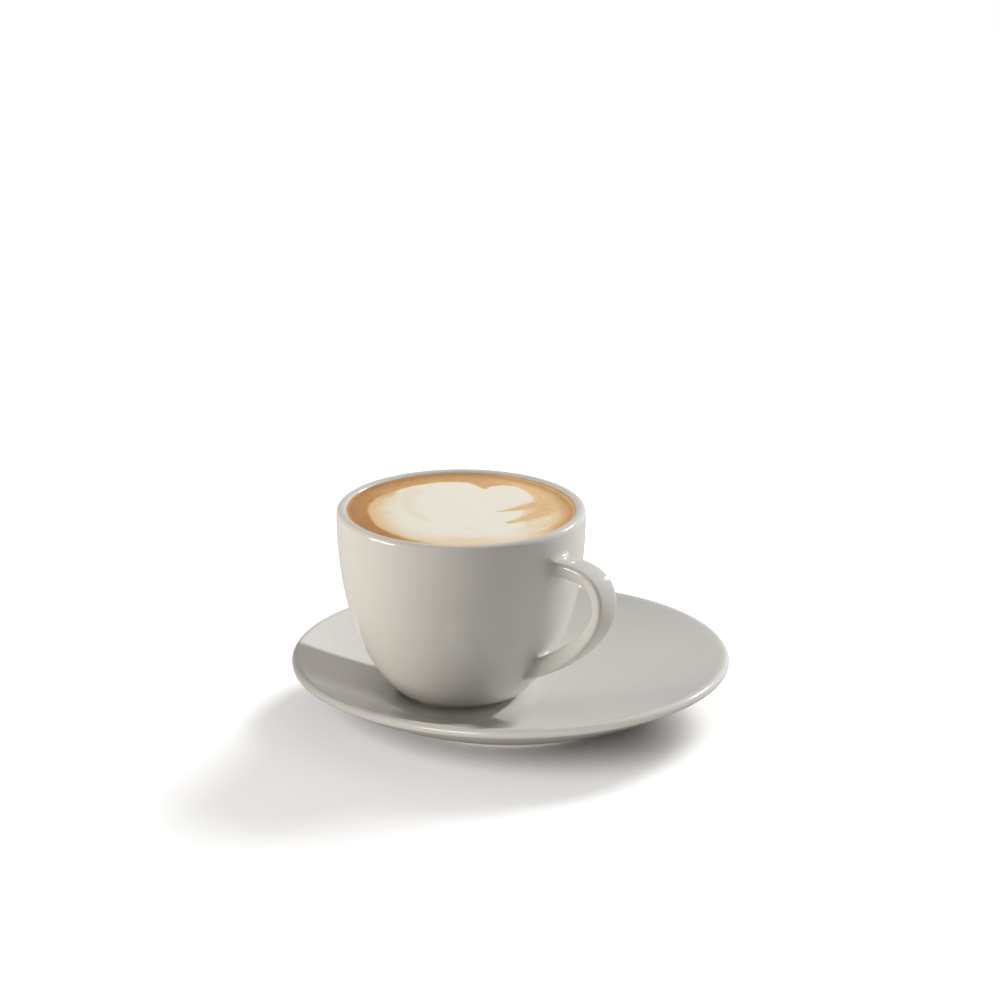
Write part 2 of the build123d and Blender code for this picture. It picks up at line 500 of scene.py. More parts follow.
def sliding_lathe_tree():
    """Turns an outline round the axis.

    The outline's points hold a radius, a slide towards the centre and a height.
    """
    tree, given, out = new_tree("sliding_lathe", [
        ("Around", "NodeSocketInt"), ("Centre", "NodeSocketVector"), ("Finish", "NodeSocketMaterial"),
    ])
    rings = node(tree, "GeometryNodeAttributeDomainSize", {0: given["Geometry"]}).outputs["Point Count"]
    grid = node(tree, "GeometryNodeMeshGrid", {
        "Size X": 1.0, "Size Y": 1.0, "Vertices X": maths(tree, "ADD", given["Around"], 1.0),
        "Vertices Y": rings,
    }).outputs["Mesh"]
    index = node(tree, "GeometryNodeInputIndex").outputs[0]
    column = maths(tree, "FLOOR", maths(tree, "DIVIDE", maths(tree, "ADD", index, 0.5), rings))
    row = maths(tree, "SUBTRACT", index, maths(tree, "MULTIPLY", column, rings))
    sample = node(tree, "GeometryNodeSampleIndex", {
        "Geometry": given["Geometry"], "Index": row,
    }, data_type="FLOAT_VECTOR", domain="POINT")
    position = node(tree, "GeometryNodeInputPosition").outputs[0]
    tree.links.new(position, next(s for s in sample.inputs if s.name == "Value" and s.enabled))
    outline = node(tree, "ShaderNodeSeparateXYZ", {
        0: next(s for s in sample.outputs if s.enabled),
    }).outputs
    centre = node(tree, "ShaderNodeSeparateXYZ", {0: given["Centre"]}).outputs
    turned = maths(tree, "MULTIPLY", maths(tree, "DIVIDE", column, given["Around"]), 2 * pi)
    sideways = [
        maths(tree, "ADD", maths(tree, "MULTIPLY", outline[0], maths(tree, wave, turned)),
              maths(tree, "MULTIPLY", outline[1], centre[axis]))
        for axis, wave in enumerate(("COSINE", "SINE"))
    ]
    place = node(tree, "ShaderNodeCombineXYZ", {0: sideways[0], 1: sideways[1], 2: outline[2]}).outputs[0]
    moved = node(tree, "GeometryNodeSetPosition", {"Geometry": grid, "Position": place}).outputs[0]
    closed = node(tree, "GeometryNodeMergeByDistance", {"Geometry": moved, "Distance": 2e-6}).outputs[0]
    finish_tree(tree, closed, given["Finish"], out)
    return tree


def bubble_tree():
    """Scatters flattened bubbles where the surface's froth attribute allows them."""
    tree, given, out = new_tree("bubble_scatter", [
        ("Density", "NodeSocketFloat"), ("Smallest", "NodeSocketFloat"), ("Largest", "NodeSocketFloat"),
        ("Seed", "NodeSocketInt"), ("Finish", "NodeSocketMaterial"),
    ])
    froth = node(tree, "GeometryNodeInputNamedAttribute", {"Name": "froth"}, data_type="FLOAT").outputs[0]
    spread = node(tree, "GeometryNodeDistributePointsOnFaces", {
        "Mesh": given["Geometry"], "Density": maths(tree, "MULTIPLY", froth, given["Density"]),
        "Seed": given["Seed"],
    }).outputs["Points"]
    ball = node(tree, "GeometryNodeMeshUVSphere", {"Segments": 10, "Rings": 6, "Radius": 1.0}).outputs[0]
    random = node(tree, "FunctionNodeRandomValue", {"Seed": given["Seed"]}, data_type="FLOAT")
    small = maths(tree, "POWER", random.outputs["Value"], 3.0)
    range_of_sizes = maths(tree, "SUBTRACT", given["Largest"], given["Smallest"])
    radius = maths(tree, "MULTIPLY_ADD", small, range_of_sizes, given["Smallest"])
    flat = maths(tree, "MULTIPLY", radius, 0.55)
    scale = node(tree, "ShaderNodeCombineXYZ", {0: radius, 1: radius, 2: flat}).outputs[0]
    balls = node(tree, "GeometryNodeInstanceOnPoints", {"Points": spread, "Instance": ball, "Scale": scale})
    finish_tree(tree, balls.outputs[0], given["Finish"], out)
    return tree


# --- Saucer ---------------------------------------------------------------------------------------

EDGE_START, EDGE_END = -58, 62  # where the rolled edge begins underneath and ends above, in degrees
EDGE_PULL, DISH_PULL = 0.0010, 0.0014  # how long the crest keeps the edge's slope, and the dish's
SLIDE_SCALE = 0.001  # keeps the slide from adding to the outline's length
SAUCER_SPACING = (0.0022, radians(9))  # the most between two rings: length and bend


def cup_centre():
    """Where the cup's axis meets the table."""
    cup = bpy.context.scene.latte_cup
    return Vector((cup_low.x + cup.lip_radius, (cup_low.y + cup_high.y) / 2, 0))


def saucer_outline(size):
    """Radius, slide towards the cup's axis and height, from the underside's middle to the well's."""
    lip_radius = size.radius - size.lip
    lip_height = size.height - size.lip
    edge = arc((lip_radius, lip_height), size.lip, EDGE_START, EDGE_END, count=24)
    start = edge[0]
    foot_top = np.array((size.foot_radius, size.foot_height))
    span = start - foot_top
    swell = np.array((span[1], -span[0])) / np.linalg.norm(span) * size.bulge * 2
    under = bezier([foot_top, (foot_top + start) / 2 + swell, start], count=60)
    inner = size.foot_radius - size.foot_width
    foot = [(0, size.foot_height), (inner, size.foot_height), (inner, 0), (size.foot_radius, 0)]
    below = np.insert(np.vstack([foot, under, edge]), 1, 0, axis=1)
    out = np.linspace(size.crest_end, 0, 60)
    dish = np.stack([
        size.well_radius + (lip_radius - size.well_radius) * out,
        (1 - out) * SLIDE_SCALE,
        size.well_floor + (size.height - size.well_floor) * out**size.dish_curve,
    ], 1)
    leave, arrive = unit(np.array([below[-1] - below[-2], dish[0] - dish[1]]))
    crest = bezier([below[-1], below[-1] + leave * EDGE_PULL, dish[0] + arrive * DISH_PULL, dish[0]], 24)
    whole = np.vstack([below, crest, dish, [(0, SLIDE_SCALE, size.well_floor)]])
    rings = ring_points(soften(whole, size.soft_edge), *SAUCER_SPACING)
    rings[:, 1] /= SLIDE_SCALE
    rings[0, 0] = rings[-1, 0] = 0
    return rings


def make_saucer(scene):
    """The saucer, turned from its outline by the sliding lathe."""
    size = scene.latte_saucer
    rings = saucer_outline(size)
    mesh = bpy.data.meshes.new("saucer_glazed")
    mesh.from_pydata(rings.tolist(), [(i, i + 1) for i in range(len(rings) - 1)], [])
    saucer = placed("saucer_glazed", mesh)
    lathe = saucer.modifiers.new("lathe", "NODES")
    lathe.node_group = sliding_lathe_tree()
    set_input(lathe, "Around", size.around)
    set_input(lathe, "Centre", cup_centre())
    set_input(lathe, "Finish", glaze_material("saucer_glaze", scene.latte_glaze, saucer_foot))
    applied(saucer)
    point_outwards(saucer)
    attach(saucer, "root")
    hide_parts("saucer")


# --- Cup ------------------------------------------------------------------------------------------

COLUMNS = 256  # points round the body
LOWER_COLUMNS, LOWER_ROWS = 26, 16  # the patch of wall that each root of the handle takes
UPPER_COLUMNS, UPPER_ROWS = 18, 24  # its columns and rows add up to what the lower patch's do
STRAP_POINTS = 2 * (LOWER_COLUMNS + LOWER_ROWS)  # round the strap, and round each patch
LOWER_PATCH = (0.0060, 0.0330)  # heights of the patches above the foot
UPPER_PATCH = (0.0435, 0.0632)
BETWEEN_ROWS = 4  # rings of the body between the two patches
CUP_SPACING = (0.0025, radians(10))  # the most between two other rings: length and bend
BLEND_RINGS, PATCH_RINGS, STRAP_RINGS = 8, 4, 96
BLEND_REACH = (0.8, 2.6)  # the shortest and longest that a blend reaches along the strap, in radii
BLEND_PULL = 0.62  # how long the blend keeps the slopes of strap and wall, as a share of its reach
UNDER_BLEND = 0.9  # how much wider the upper blend grows beneath the strap
LINE_POINTS = 1200  # along the strap's middle line
SLIM_PLACE, SLIM_SPREAD = 0.44, 0.13  # the slim part's place along that line, and how far it spreads
STOUT_FROM, STOUT_TO = 0.52, 0.74  # where the stout part begins, and where it is full
# The strap's middle line: distance out from the lip's radius, and share of the height from the
# lower height to the crest
STRAP_BENDS = ((0.0095, 1.0), (0.0179, 0.89), (0.0199, 0.67), (0.0132, 0.31), (-0.0005, 0.0))
STRAP_START = (-0.012, 0.89)


def cup_outline(size):
    """Radius and height above the foot, from the underside's middle over the lip to the inside's."""
    lip = size.wall / 2
    lip_height = size.height - lip
    inner = size.lip_radius - size.wall
    foot_in = size.foot_radius - size.foot_width
    edge_centre = (size.foot_radius + size.overhang, size.foot_height + size.edge_round)
    edge = arc(edge_centre, size.edge_round, -90, degrees(size.body_angle) - 90, count=10)
    lower = edge[-1] + size.lower_pull * np.array((cos(size.body_angle), sin(size.body_angle)))
    wall = bezier([edge[-1], lower, (size.lip_radius, lip_height - size.upper_pull),
                   (size.lip_radius, lip_height)], count=300)
    flat = size.foot_radius - size.floor_inset
    inside = bezier([(inner, lip_height), (inner, lip_height - size.inside_upper_pull),
                     (flat + size.inside_lower_pull, size.floor), (flat, size.floor)], count=200)
    return np.vstack([
        [(0, size.foot_lift), (foot_in, size.foot_lift), (foot_in, 0), (size.foot_radius, 0),
         (size.foot_radius, size.foot_height)],
        edge,
        wall,
        arc((size.lip_radius - lip, lip_height), lip, 0, 180, count=40),
        inside,
        [(0, size.floor)],
    ])


def cup_rings(size):
    """The cup's rings, the first row of each handle patch, and the fine outline of the outer wall."""
    fine = soften(cup_outline(size), size.soft_edge)
    top = int(np.argmax(fine[:, 1]))
    outer = fine[:top]
    edge_out = size.foot_radius + size.overhang
    start = int(np.argmax((outer[:, 0] > edge_out) & (outer[:, 1] > size.foot_height + size.edge_round)))
    wall = outer[start:]
    first, last = start + np.searchsorted(wall[:, 1], (LOWER_PATCH[0], UPPER_PATCH[1]))
    along = run_lengths(wall)
    lower = np.interp(LOWER_PATCH, wall[:, 1], along)
    upper = np.interp(UPPER_PATCH, wall[:, 1], along)
    places = np.r_[
        np.linspace(*lower, LOWER_ROWS + 1),
        np.linspace(lower[1], upper[0], BETWEEN_ROWS + 1)[1:-1],
        np.linspace(*upper, UPPER_ROWS + 1),
    ]
    under = ring_points(fine[:first], *CUP_SPACING)[:-1]
    over = ring_points(fine[last:], *CUP_SPACING)[1:]
    rings = np.vstack([under, at_places(wall, along, places), over])
    rings[0, 0] = rings[-1, 0] = 0
    return rings, len(under), len(under) + LOWER_ROWS + BETWEEN_ROWS, wall


def natural_spline(knots, count):
    """A smooth curve through the knots with no bend at its ends, and the curve's own directions."""
    knots = np.array(knots, float)
    chord = run_lengths(knots)
    gap = np.diff(chord)
    size = len(knots)
    matrix = np.eye(size)
    right = np.zeros((size, 2))
    for i in range(1, size - 1):
        matrix[i, i - 1:i + 2] = gap[i - 1], 2 * (gap[i - 1] + gap[i]), gap[i]
        right[i] = 6 * ((knots[i + 1] - knots[i]) / gap[i] - (knots[i] - knots[i - 1]) / gap[i - 1])
    bend = np.linalg.solve(matrix, right)
    place = np.linspace(0, chord[-1], count)
    part = np.clip(np.searchsorted(chord, place) - 1, 0, size - 2)
    wide = gap[part][:, None]
    a = (chord[part + 1] - place)[:, None] / wide
    b = 1 - a
    points = (a * knots[part] + b * knots[part + 1]
              + ((a**3 - a) * bend[part] + (b**3 - b) * bend[part + 1]) * wide**2 / 6)
    return points, unit(np.gradient(points, axis=0))


def strap_section(size):
    """Points round the strap's section, as (across, outwards), from the middle of its outer face."""
    half, rise = size.width / 2, size.thickness / 2
    quarter = [arc((side * (half - edge), face * (rise - edge)), edge, start, start - 90, 24)
               for side, face, edge, start in (
                   (1, 1, size.outer_round, 90), (1, -1, size.inner_round, 0),
                   (-1, -1, size.inner_round, -90), (-1, 1, size.outer_round, 180))]
    ring = np.vstack([[(0, rise)], *quarter, [(0, rise)]])
    along = run_lengths(ring)
    section = at_places(ring, along, np.linspace(0, along[-1], STRAP_POINTS + 1)[:-1])
    section[:, 1] += size.crown * (1 - (section[:, 0] / half) ** 2) * np.clip(section[:, 1] / rise, 0, 1)
    return section


def strap_lines(cup, handle):
    """Lines that each follow one point of the strap's section, and how far beneath each point is."""
    span = cup.height - handle.crest_drop - handle.lower_height
    knots = [(cup.lip_radius + out, handle.lower_height + part * span)
             for out, part in (STRAP_START, *STRAP_BENDS)]
    knots.append((cup.lip_radius - handle.lower_depth, handle.lower_height - handle.lower_drop))
    middle, heading = natural_spline(knots, LINE_POINTS)
    section = strap_section(handle)
    place = np.linspace(0, 1, LINE_POINTS)
    stoutness = (1 - handle.slim * np.exp(-((place - SLIM_PLACE) / SLIM_SPREAD) ** 2)
                 + handle.stout * step_up(place, STOUT_FROM, STOUT_TO))
    lines = np.stack([
        middle[:, 0] - section[:, 1:] * stoutness * heading[:, 1],
        section[:, :1] + 0 * stoutness,
        middle[:, 1] + section[:, 1:] * stoutness * heading[:, 0],
    ], -1)
    return lines, np.clip(-section[:, 1] / (handle.thickness / 2), 0, 1)


def on_wall(turn, height, wall):
    """Points of the outer wall at those turns and heights, about the cup's axis."""
    radius = np.interp(height, wall[:, 1], wall[:, 0])
    return np.stack([radius * np.cos(turn), radius * np.sin(turn), height], -1)


def wall_normal(points, wall):
    """The outer wall's outward direction at those points."""
    slope = np.gradient(wall[:, 0], wall[:, 1])
    lean = np.interp(points[:, 2], wall[:, 1], slope)
    turn = np.arctan2(points[:, 1], points[:, 0])
    return unit(np.stack([np.cos(turn), np.sin(turn), -lean], 1))


def root_of(lines, wall, blend):
    """Where the strap's lines, which end inside the wall, give way to a blend.

    Returns how far along its line each strap point ends, and the blend's rings from there to the wall.
    """
    count, steps = lines.shape[:2]
    leave, cross, towards = np.zeros(count), np.zeros((count, 3)), np.zeros((count, 3))
    lengths = []
    for i, line in enumerate(lines):
        clear = np.hypot(line[:, 0], line[:, 1]) - np.interp(line[:, 2], wall[:, 1], wall[:, 0])
        j = int(np.argmax(clear < 0))
        part = clear[j - 1] / (clear[j - 1] - clear[j])
        along = run_lengths(line)
        lengths.append(along)
        leave[i] = along[j - 1] + part * (along[j] - along[j - 1])
        cross[i] = line[j - 1] + part * (line[j] - line[j - 1])
        towards[i] = line[j] - line[j - 1]
    towards = unit(towards)
    normal = wall_normal(cross, wall)
    loop = np.roll(cross, -1, 0) - np.roll(cross, 1, 0)
    away = unit(np.cross(loop, normal))
    away *= np.sign(np.sum(away * (cross - cross.mean(0)), 1))[:, None]
    corner = np.arccos(np.clip(-np.sum(towards * away, 1), -1, 1))
    reach = np.clip(blend / np.tan(corner / 2), *(part * blend for part in BLEND_REACH))
    for _ in range(6):
        reach = (np.roll(reach, 1) + 2 * reach + np.roll(reach, -1)) / 4
    start, heading = np.zeros((count, 3)), np.zeros((count, 3))
    for i, line in enumerate(lines):
        places = np.array([leave[i] - reach[i], leave[i] - reach[i] + 1e-4])
        ends = at_places(line, lengths[i], places)
        start[i], heading[i] = ends[0], ends[1] - ends[0]
    heading = unit(heading)
    end = cross + away * reach[:, None]
    end = on_wall(np.arctan2(end[:, 1], end[:, 0]), end[:, 2], wall)
    normal = wall_normal(end, wall)
    spread = unit(away - np.sum(away * normal, 1)[:, None] * normal)
    pull = reach[:, None] * BLEND_PULL
    place = np.linspace(0, 1, BLEND_RINGS + 1)[1:, None, None]
    corners = [start, start + heading * pull, end - spread * pull, end]
    weights = [(1 - place)**3, 3 * place * (1 - place)**2, 3 * place**2 * (1 - place), place**3]
    rings = sum(weight * corner[None] for weight, corner in zip(weights, corners))
    return leave - reach, rings


def patch_border(first_row, rows, columns, from_top):
    """Row and column of each border point of a patch, from the middle of one edge towards +Y."""
    half = columns // 2
    last_row = first_row + rows
    near, far = (last_row, first_row) if from_top else (first_row, last_row)
    step = -1 if from_top else 1
    return ([(near, c) for c in range(0, half)]
            + [(near + step * r, half) for r in range(rows)]
            + [(far, half - c) for c in range(columns)]
            + [(far - step * r, -half) for r in range(rows)]
            + [(near, -half + c) for c in range(half)])


def cup_mesh(cup, handle):
    """Points about the cup's axis and foot, and faces, of the cup with its handle in one skin."""
    rings, lower_row, upper_row, wall = cup_rings(cup)
    turn = 2 * pi * np.arange(COLUMNS) / COLUMNS
    points, faces = [], []
    body = np.stack([rings[1:-1, :1] * np.cos(turn), rings[1:-1, :1] * np.sin(turn),
                     rings[1:-1, 1:] + 0 * turn], -1)
    points.append(body.reshape(-1, 3))
    rows = len(body)

    def body_index(row, column):
        return (row - 1) * COLUMNS + column % COLUMNS

    patches = ((lower_row, LOWER_ROWS, LOWER_COLUMNS), (upper_row, UPPER_ROWS, UPPER_COLUMNS))
    for row in range(1, rows):
        for column in range(COLUMNS):
            centred = (column + COLUMNS // 2) % COLUMNS - COLUMNS // 2
            if any(first <= row < first + tall and -wide // 2 <= centred < wide // 2
                   for first, tall, wide in patches):
                continue
            faces.append((body_index(row, column), body_index(row, column + 1),
                          body_index(row + 1, column + 1), body_index(row + 1, column)))
    count = rows * COLUMNS
    for pole, row in ((rings[0], 1), (rings[-1], rows)):
        points.append(np.array([(0, 0, pole[1])]))
        faces += [(count, body_index(row, c), body_index(row, c + 1)) for c in range(COLUMNS)]
        count += 1

    # The strap and its blends: one chain of rings from the upper root to the lower one
    lines, underneath = strap_lines(cup, handle)
    half = lines.shape[1] // 2
    upper_blend = handle.upper_blend * (1 + UNDER_BLEND * underneath)
    upper_start, upper_rings = root_of(lines[:, half::-1], wall, upper_blend)
    lower_start, lower_rings = root_of(lines[:, half:], wall, np.full(STRAP_POINTS, handle.lower_blend))
    strap = np.zeros((STRAP_RINGS + 1, STRAP_POINTS, 3))
    for i, line in enumerate(lines):
        along = run_lengths(line)
        ends = along[half] - upper_start[i], along[half] + lower_start[i]
        strap[:, i] = at_places(line, along, np.linspace(*ends, STRAP_RINGS + 1))
    chain = [*upper_rings[::-1], *strap, *lower_rings]
    points.append(np.array(chain).reshape(-1, 3))
    numbers = count + np.arange(len(chain) * STRAP_POINTS).reshape(-1, STRAP_POINTS)
    count += numbers.size
    for before, after in zip(numbers, numbers[1:]):
        faces += ring_faces(before, after)

    # Rings on the wall from each blend out to the border of its patch
    for (first, tall, wide), end, at_top in zip(patches, (len(chain) - 1, 0), (False, True)):
        border = patch_border(first, tall, wide, at_top)
        inner_points = chain[end]
        inner = np.stack([np.arctan2(inner_points[:, 1], inner_points[:, 0]), inner_points[:, 2]], 1)
        outer = np.array([(2 * pi * column / COLUMNS, rings[row][1]) for row, column in border])
        before = numbers[end]
        for step in range(1, PATCH_RINGS + 1):
            if step < PATCH_RINGS:
                place = inner + (outer - inner) * step / PATCH_RINGS
                points.append(on_wall(place[:, 0], place[:, 1], wall))
                after = np.arange(count, count + STRAP_POINTS)
                count += STRAP_POINTS
            else:
                after = [body_index(row, column) for row, column in border]
            faces += ring_faces(before, after)
            before = after
    return np.vstack(points), faces


def make_cup(scene):
    """The cup, its body and handle one closed skin."""
    points, faces = cup_mesh(scene.latte_cup, scene.latte_handle)
    points = points + np.array((*cup_centre().xy, cup_low.z))
    glaze = glaze_material("cup_glaze", scene.latte_glaze, cup_low.z)
    cup = mesh_object("cup_glazed", points, faces, glaze)
    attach(cup, "root")
    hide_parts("cup")


# --- Latte ----------------------------------------------------------------------------------------

SURFACE_POINTS = 265  # along each side of the surface's grid
INTO_WALL = 0.0002  # the drink reaches this far into the cup
SWELL = 0.00006  # slow waves of the surface
MENISCUS_REACH = 0.0007
FIRST_DEPTHS = (0.001, 0.006)  # the first two rings of the body below the surface
BODY_RINGS = 9
FROTH_RING = 2 * pi * 0.0402 * 0.0013  # area of the ring along the wall where bubbles gather
BUBBLE_SIZES = (0.00008, 0.00028)  # smallest and largest radius
BUBBLE_SEED = 7


class Noise:
    """Smooth random values over the plane, the same on every run."""

    size = 64  # the table repeats past this many steps
    shift = (17.3, 9.1)  # keeps the octaves' grids apart

    def __init__(self, seed):
        self.table = np.random.default_rng(seed).random((self.size, self.size))

    def corner(self, i, j):
        """The table's value there."""
        return self.table[i % self.size, j % self.size]

    def __call__(self, x, y, scale, octaves=3):
        total, weight, norm = 0, 1.0, 0.0
        for octave in range(octaves):
            u, v = (p / scale * 2**octave + s * octave for p, s in zip((x, y), self.shift))
            i, j = np.floor(u).astype(int), np.floor(v).astype(int)
            a, b = u - i, v - j
            a, b = a * a * (3 - 2 * a), b * b * (3 - 2 * b)
            low = self.corner(i, j) * (1 - a) + self.corner(i + 1, j) * a
            high = self.corner(i, j + 1) * (1 - a) + self.corner(i + 1, j + 1) * a
            total = total + (low * (1 - b) + high * b) * weight
            norm += weight
            weight *= 0.5
        return total / norm * 2 - 1


def closed_curve(knots, steps=8):
    """A smooth closed line through the knots."""
    knots = np.array(knots, float)
    before, after, far = np.roll(knots, 1, 0), np.roll(knots, -1, 0), np.roll(knots, -2, 0)
    t = np.linspace(0, 1, steps, endpoint=False)[None, :, None]
    k = [p[:, None, :] for p in (before, knots, after, far)]
    curve = 0.5 * (2 * k[1] + (k[2] - k[0]) * t + (2 * k[0] - 5 * k[1] + 4 * k[2] - k[3]) * t**2
                   + (3 * k[1] - k[0] - 3 * k[2] + k[3]) * t**3)
    return curve.reshape(-1, 2)


def nearest_on(x, y, a, b):
    """How far along the line from a to b each point lies, from 0 to 1, and how far off it."""
    ex, ey = b[0] - a[0], b[1] - a[1]
    t = np.clip(((x - a[0]) * ex + (y - a[1]) * ey) / (ex * ex + ey * ey), 0, 1)
    return t, np.hypot(x - a[0] - t * ex, y - a[1] - t * ey)


def depth_inside(x, y, outline):
    """How far inside a closed outline each point lies, negative outside it."""
    nearest = np.full(x.shape, np.inf)
    inside = np.zeros(x.shape, bool)
    for a, b in zip(outline, np.roll(outline, -1, 0)):
        nearest = np.minimum(nearest, nearest_on(x, y, a, b)[1])
        if b[1] != a[1]:
            crossing = a[0] + (y - a[1]) * (b[0] - a[0]) / (b[1] - a[1])
            inside ^= ((a[1] > y) != (b[1] > y)) & (x < crossing)
    return np.where(inside, nearest, -nearest)


def stroke(x, y, start, bend, end, width, taper=0.0):
    """How strongly a stroke along a bent line, which thins towards its end, covers each point."""
    line = bezier([start, bend, end], 24)
    best = np.full(x.shape, -np.inf)
    for i, (a, b) in enumerate(zip(line[:-1], line[1:])):
        t, away = nearest_on(x, y, a, b)
        place = (i + t) / (len(line) - 1)
        best = np.maximum(best, 1 - away / (width * (1 - (1 - taper) * place) + 0.05))
    return step_up(best, 0.0, 0.75)


# The pour as it was drawn, in millimetres: x to the right and y away from the drinker
CREMA_INNER = (  # inside the ring of crema
    (-32.9, 0.0), (-32.5, 5.5), (-31.0, 11.0), (-28.4, 16.2), (-24.4, 21.0), (-19.0, 25.6), (-12.0, 29.2),
    (-4.5, 31.3), (3.0, 31.0), (10.0, 29.2), (18.0, 29.3), (25.8, 23.6), (31.0, 15.0), (34.2, 5.5),
    (35.6, -4.0), (34.6, -14.0), (30.5, -23.0), (23.5, -30.6), (13.0, -36.2), (2.0, -39.4), (-8.0, -38.0),
    (-15.0, -34.2), (-21.0, -29.6), (-25.8, -24.2), (-29.2, -18.2), (-31.4, -12.0), (-32.6, -6.0),
)
MILK = (  # the white of the pour
    (-23.6, 18.2), (-21.2, 22.6), (-15.5, 26.6), (-9.0, 29.4), (-3.0, 30.4), (1.4, 29.8), (4.6, 27.2),
    (6.2, 25.2), (8.1, 22.8), (10.0, 25.0), (12.0, 26.0), (15.6, 26.4), (19.6, 24.6), (22.9, 20.4),
    (25.0, 14.8), (25.4, 9.6), (24.4, 5.0), (22.8, 1.0), (21.4, -4.0), (21.6, -9.0), (22.4, -15.0),
    (22.4, -20.5), (19.5, -25.8), (14.0, -29.8), (6.0, -31.6), (-4.0, -31.6), (-13.0, -28.8),
    (-19.6, -22.0), (-23.2, -14.0), (-24.9, -3.0), (-25.2, 9.0),
)
TAN_STROKES = (  # start, bend, end, width, share of it left at the end, strength
    ((29.5, 6.5), (23.5, 1.5), (12.6, -3.2), 7.6, 0.05, 0.95),
    ((30.0, -1.5), (24.5, -9.5), (16.6, -14.2), 6.4, 0.30, 0.95),
    ((28.5, 3.0), (29.5, 12.0), (24.6, 21.5), 1.9, 0.25, 0.70),
    ((25.0, 6.5), (20.0, 2.6), (10.8, 0.0), 1.0, 0.10, 0.45),
    ((33.5, -6.0), (31.0, -17.0), (23.0, -27.0), 1.8, 0.10, 0.35),
)
VEILS = (  # the same, for the faint tan left in the white
    ((-17.0, 20.5), (-23.5, 2.0), (-11.5, -12.2), 6.0, 0.40, 0.11),
    ((1.0, -18.0), (2.5, -21.0), (5.5, -24.5), 2.6, 0.50, 0.05),
)


def pour(x, y, rim):
    """How much milk lies at each place, from 0 in the darkest crema to 1, and where froth gathers."""
    drift, curl, fine = Noise(11), Noise(23), Noise(37)
    turn = np.arctan2(y, x)
    out = np.hypot(x, y)
    warp_x = x + 0.7 * drift(x, y, 9.0) + 0.22 * drift(x + 50, y, 2.2)
    warp_y = y + 0.7 * drift(x, y + 80, 9.0) + 0.22 * drift(x, y + 130, 2.2)
    # Streaks run along the rim: the noise is long round the cup and short across it
    streak = curl(turn * 30.0, out, 2.4, 4) * 0.6 + curl(turn * 18.0, out + 40, 5.0, 3) * 0.4
    thread = fine(turn * 14.0, out, 0.9, 3)
    wall_gap = rim - out
    left = step_up(-x, 4.0, 22.0)
    right = step_up(x, 2.0, 20.0)
    back = step_up(y, 6.0, 24.0)
    front = step_up(-y, 18.0, 31.0)

    # The crema ring: a dark line against the wall at the back, and a little inside it at the right
    milk = 0.30 + (0.05 + 0.05 * left) * streak - 0.02 * left + 0.14 * right
    milk += 0.12 * back * step_up(wall_gap, 2.0, 8.0)
    milk -= 0.09 * left * step_up(-y, 4.0, 20.0)
    milk -= 0.13 * back * (1 - right) * step_up(wall_gap, 3.0, 1.2)
    band = 1.1 + 1.9 * step_up(y, -10.0, 14.0)
    milk -= 0.13 * right * step_up(y, -30.0, -8.0) * np.exp(-((wall_gap - band) / 0.9) ** 2)
    milk += 0.34 * front * step_up(x, -26.0, -6.0)

    # Paler crema inside the ring
    inside = depth_inside(warp_x, warp_y, closed_curve(CREMA_INNER))
    level = 0.62 - 0.16 * back * step_up(20.0 - x, 0.0, 8.0) + 0.045 * streak + 0.03 * thread
    level += (0.20 + 0.06 * streak) * left * step_up(inside, 0.6, 7.0) + 0.13 * front
    level += (0.19 + 0.05 * thread) * right * step_up(inside, -0.5, 4.0) * step_up(-y, -22.0, 2.0)
    soft = 0.9 + 1.8 * right + 1.6 * front
    milk = milk + (level - milk) * step_up(inside / soft, -0.6, 1.0)

    # The milk: a crisp edge at the back, frayed and soft at the left and the front
    depth = depth_inside(warp_x, warp_y, closed_curve(MILK))
    loose = np.maximum(step_up(-x, 12.0, 24.0) * step_up(-y, -22.0, -10.0), step_up(-y, 14.0, 26.0))
    fray = 0.9 + 4.6 * loose
    edge = depth + 1.3 * loose * (streak + 0.5 * thread)
    white = step_up(edge / fray, -0.62, 0.95)
    milk = milk + (1.0 - milk) * white

    # What the last of the pour pulled in from the right, and the veils that it left
    for *shape, strength in TAN_STROKES:
        mask = stroke(warp_x, warp_y, *shape) * strength
        milk = milk + (0.56 + 0.06 * streak + 0.03 * thread - milk) * mask
    for *shape, strength in VEILS:
        milk = milk - stroke(warp_x, warp_y, *shape) ** 2 * strength
    veil = step_up(curl(x * 0.9 + 3, y * 0.16, 3.6, 3), 0.05, 0.8)
    milk -= 0.035 * veil * white * step_up(-x, 8.0, 18.0)
    milk -= 0.03 * white * step_up(fine(x, y, 7.0, 3), 0.1, 0.7)

    # A film of milk clings where the drink meets the wall
    milk = milk + (0.72 - milk) * 0.35 * step_up(wall_gap, 1.6, 0.0) * (1 - 0.5 * front)

    froth = step_up(wall_gap, 1.4, 0.3) * (0.3 + 0.7 * np.maximum(back, left))
    return np.clip(milk, 0.02, 1.0), froth


def disc_grid(count):
    """A square grid of points bent into a disc of radius 1, with nearly even spacing."""
    line = np.linspace(-1, 1, count)
    u, v = np.meshgrid(line, line, indexing="ij")
    wide = np.abs(u) >= np.abs(v)
    radius = np.where(wide, u, v)
    other = np.where(wide, v, u)
    ratio = np.divide(other, radius, out=np.zeros_like(other), where=radius != 0)
    turn = np.where(wide, pi / 4 * ratio, pi / 2 - pi / 4 * ratio)
    return radius * np.cos(turn), radius * np.sin(turn)


